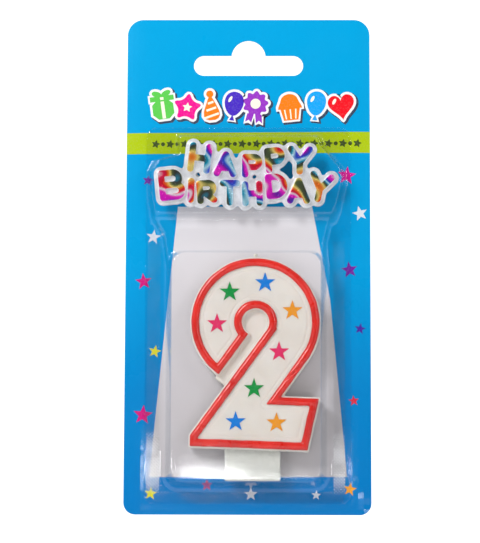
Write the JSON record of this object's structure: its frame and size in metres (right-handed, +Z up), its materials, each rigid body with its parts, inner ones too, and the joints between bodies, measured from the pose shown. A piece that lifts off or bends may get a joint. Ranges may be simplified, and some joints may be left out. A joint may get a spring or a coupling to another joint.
{
  "type": "number birthday candle",
  "caption": "Wax numeral birthday candle on a stake, with a foil greeting topper, in a clear blister that peels up from its hanging card.",
  "frame": {"origin": "middle of the hang slot's straight part, on the card's back face", "axes": "+X to the right seen from the front, +Y back out of the card, +Z up; the blister faces -Y"},
  "size_m": [0.071, 0.0115, 0.1445],
  "materials": {
    "printed_card": "gloss printed board",
    "clear_sheet": "clear thermoformed sheet",
    "white_wax": "smooth wax",
    "red_wax": "smooth wax",
    "stake_plastic": "translucent moulded plastic",
    "wick_cotton": "waxed cotton",
    "star_green": "printed ink",
    "star_blue": "printed ink",
    "star_orange": "printed ink",
    "star_pink": "printed ink",
    "plaque_plastic": "glossy moulded plastic",
    "rainbow_foil": "hot-stamped rainbow foil"
  },
  "bodies": {
    "card": {"backing_card": "printed_card"},
    "blister": {"blister_shell": "clear_sheet"},
    "candle": {"candle_body": "white_wax", "outline_bead": "red_wax", "candle_stake": "stake_plastic", "wick": "wick_cotton", "star_green_upper": "star_green", "star_blue_upper": "star_blue", "star_orange_upper": "star_orange", "star_pink_left": "star_pink", "star_pink_right": "star_pink", "star_green_lower": "star_green", "star_blue_lower": "star_blue", "star_orange_lower": "star_orange"},
    "topper": {"topper_plaque": "plaque_plastic", "foil_upper_h": "rainbow_foil", "foil_upper_a": "rainbow_foil", "foil_upper_p_1": "rainbow_foil", "foil_upper_p_2": "rainbow_foil", "foil_upper_y": "rainbow_foil", "foil_lower_b": "rainbow_foil", "foil_lower_i": "rainbow_foil", "foil_lower_r": "rainbow_foil", "foil_lower_t": "rainbow_foil", "foil_lower_h": "rainbow_foil", "foil_lower_d": "rainbow_foil", "foil_lower_a": "rainbow_foil", "foil_lower_y": "rainbow_foil"}
  },
  "joints": [
    {"name": "blister_peel", "type": "hinge", "parent": "card", "child": "blister", "pos_m": [0, -0.00068, -0.0185], "axis": [-1, 0, 0], "range_deg": [0, 100]},
    {"name": "candle_lift", "type": "slide", "parent": "card", "child": "candle", "axis": [0, -1, 0], "range_m": [0, 0.07]},
    {"name": "topper_lift", "type": "slide", "parent": "card", "child": "topper", "axis": [0, -1, 0], "range_m": [0, 0.0135]}
  ],
  "couplings": [
    {"joint": "candle_lift", "follows": "blister_peel", "m_per_rad": 0.04},
    {"joint": "topper_lift", "follows": "blister_peel", "m_per_rad": 0.0075}
  ]
}
